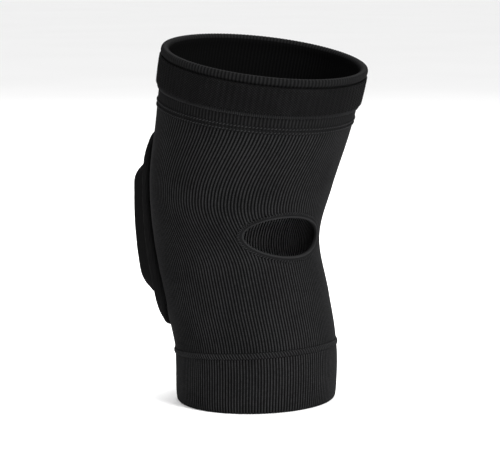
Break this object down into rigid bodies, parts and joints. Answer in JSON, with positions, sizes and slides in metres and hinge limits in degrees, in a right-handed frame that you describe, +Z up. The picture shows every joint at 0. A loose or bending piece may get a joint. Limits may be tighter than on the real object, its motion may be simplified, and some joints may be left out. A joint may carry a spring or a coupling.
{
  "type": "elbow pad",
  "caption": "Ribbed compression elbow sleeve with a stepped foam pad over the point of the elbow, an oval crook opening, a folded lower cuff and an elastic upper cuff.",
  "frame": {"origin": "middle of the whole pad's footprint, on the surface that the lower cuff's rim stands on", "axes": "+Z up the sleeve towards the upper arm, +Y towards the crook of the elbow, -Y towards the pad, +X across the arm"},
  "size_m": [0.1194, 0.1404, 0.2044],
  "materials": {
    "rib_knit": "matte ribbed knit",
    "woven_elastic": "matte woven elastic",
    "inner_elastic": "matte",
    "seam_binding": "matte overlocked edge",
    "pad_fabric": "matte fine knit",
    "foam": "matte closed-cell foam",
    "thread": "satin thread"
  },
  "bodies": {
    "forearm_section": {"lower_cuff": "rib_knit", "lower_cuff_elastic": "inner_elastic", "lower_seam_ridge": "seam_binding", "lower_seam_stitches": "thread", "sleeve_body": "rib_knit", "crook_binding": "seam_binding", "crook_stitches": "thread", "pad_base_foam": "foam", "pad_border_cover": "pad_fabric", "pad_dome_foam": "foam", "pad_dome_cover": "pad_fabric", "pad_edge_hem": "pad_fabric", "pad_edge_stitches": "thread", "pad_ledge_seam": "pad_fabric", "pad_ledge_stitches": "thread"},
    "upper_arm_section": {"upper_cuff_knit": "rib_knit", "upper_elastic_band": "woven_elastic", "upper_seam_ridge": "seam_binding", "upper_seam_stitches": "thread", "band_seam_ridge": "seam_binding", "band_seam_stitches": "thread"}
  },
  "joints": [
    {"name": "elbow_flex", "type": "hinge", "parent": "forearm_section", "child": "upper_arm_section", "pos_m": [0, -0.01499, 0.095], "axis": [-1, 0, 0], "range_deg": [-30, 60], "stiffness_Nm_per_rad": 0.8, "deforming": ["sleeve_body", "crook_binding", "crook_stitches", "pad_base_foam", "pad_border_cover", "pad_dome_foam", "pad_dome_cover", "pad_edge_hem", "pad_edge_stitches", "pad_ledge_seam", "pad_ledge_stitches"]}
  ]
}
